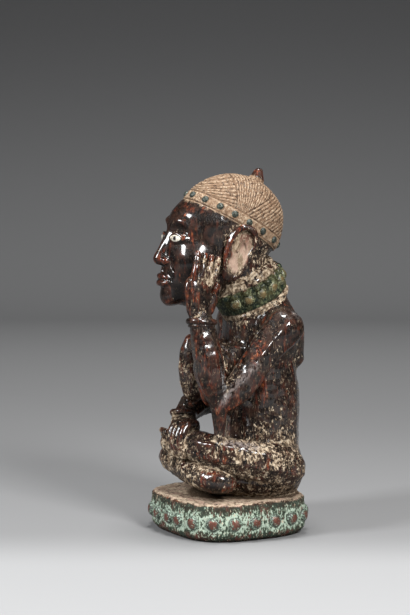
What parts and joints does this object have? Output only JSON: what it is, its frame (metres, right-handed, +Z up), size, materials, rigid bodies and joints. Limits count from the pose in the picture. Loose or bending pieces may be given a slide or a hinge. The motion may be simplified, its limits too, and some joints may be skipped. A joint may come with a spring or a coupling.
{
  "type": "yombe figure",
  "caption": "Carved wooden seated figure with its plinth, cheek on hand, one hand at an ankle, studded with brass tacks on plinth, collar and cap.",
  "frame": {"origin": "middle of the plinth's underside, on the surface that the figure stands on", "axes": "+Z up, the figure faces -Y, its left side is +X"},
  "size_m": [0.1058, 0.1054, 0.2513],
  "materials": {
    "wood": "dark oiled hardwood with a glossy worn skin and dusty crust in its hollows",
    "brass": "dull tarnished tack heads with green verdigris round them",
    "inlay": "off-white glazed eye inlay with a dark pupil"
  },
  "bodies": {
    "root": {"carved_figure": "wood", "plinth_tack_01": "brass", "plinth_tack_02": "brass", "plinth_tack_03": "brass", "plinth_tack_04": "brass", "plinth_tack_05": "brass", "plinth_tack_06": "brass", "plinth_tack_07": "brass", "plinth_tack_08": "brass", "plinth_tack_09": "brass", "plinth_tack_10": "brass", "plinth_tack_11": "brass", "plinth_tack_12": "brass", "plinth_tack_13": "brass", "plinth_tack_14": "brass", "plinth_tack_15": "brass", "plinth_tack_16": "brass", "plinth_tack_17": "brass", "plinth_tack_18": "brass", "plinth_tack_19": "brass", "plinth_tack_20": "brass", "plinth_tack_21": "brass", "plinth_tack_22": "brass", "collar_tack_01": "brass", "collar_tack_02": "brass", "collar_tack_03": "brass", "collar_tack_04": "brass", "collar_tack_05": "brass", "collar_tack_06": "brass", "collar_tack_07": "brass", "collar_tack_08": "brass", "collar_tack_09": "brass", "collar_tack_10": "brass", "collar_tack_11": "brass", "collar_tack_12": "brass", "collar_tack_13": "brass", "collar_tack_14": "brass", "cap_tack_01": "brass", "cap_tack_02": "brass", "cap_tack_03": "brass", "cap_tack_04": "brass", "cap_tack_05": "brass", "cap_tack_06": "brass", "cap_tack_07": "brass", "cap_tack_08": "brass", "cap_tack_09": "brass", "cap_tack_10": "brass", "cap_tack_11": "brass", "cap_tack_12": "brass", "cap_tack_13": "brass", "cap_tack_14": "brass", "cap_tack_15": "brass", "cap_tack_16": "brass", "left_eye_inlay": "inlay", "right_eye_inlay": "inlay"}
  },
  "joints": []
}
